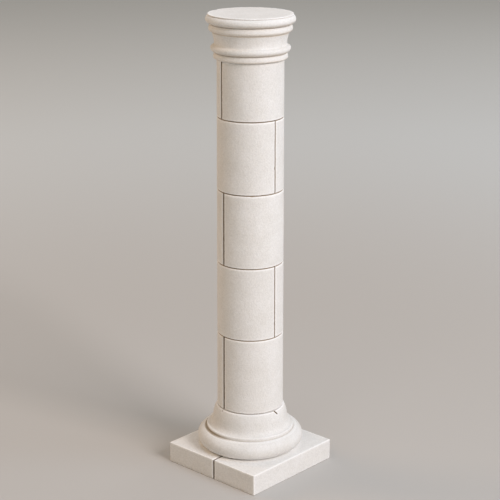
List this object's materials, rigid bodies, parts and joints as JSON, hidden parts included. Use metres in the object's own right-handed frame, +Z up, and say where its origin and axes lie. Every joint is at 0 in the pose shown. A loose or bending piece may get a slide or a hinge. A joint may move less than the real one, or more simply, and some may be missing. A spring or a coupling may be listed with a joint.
{
  "type": "doric column",
  "caption": "Round plain-shafted stone column built of half drums, with a moulded base on a square plinth in two slabs and a round moulded capital.",
  "frame": {"origin": "middle of the plinth's underside, on the column's axis", "axes": "+Z up along the column's axis, X and Y square to the plinth's sides; the gap between the plinth's slabs runs along Y"},
  "size_m": [0.6236, 0.6236, 2.4513],
  "materials": {
    "plinth_stone": "matte, rubbed limestone",
    "base_stone": "matte, rubbed limestone",
    "shaft_stone": "matte, rubbed limestone",
    "capital_stone": "matte, rubbed limestone"
  },
  "bodies": {
    "root": {"plinth_left": "plinth_stone", "plinth_right": "plinth_stone", "base": "base_stone", "drum_1_half_a": "shaft_stone", "drum_1_half_b": "shaft_stone", "drum_2_half_a": "shaft_stone", "drum_2_half_b": "shaft_stone", "drum_3_half_a": "shaft_stone", "drum_3_half_b": "shaft_stone", "drum_4_half_a": "shaft_stone", "drum_4_half_b": "shaft_stone", "drum_5_half_a": "shaft_stone", "drum_5_half_b": "shaft_stone", "capital": "capital_stone"}
  },
  "joints": []
}
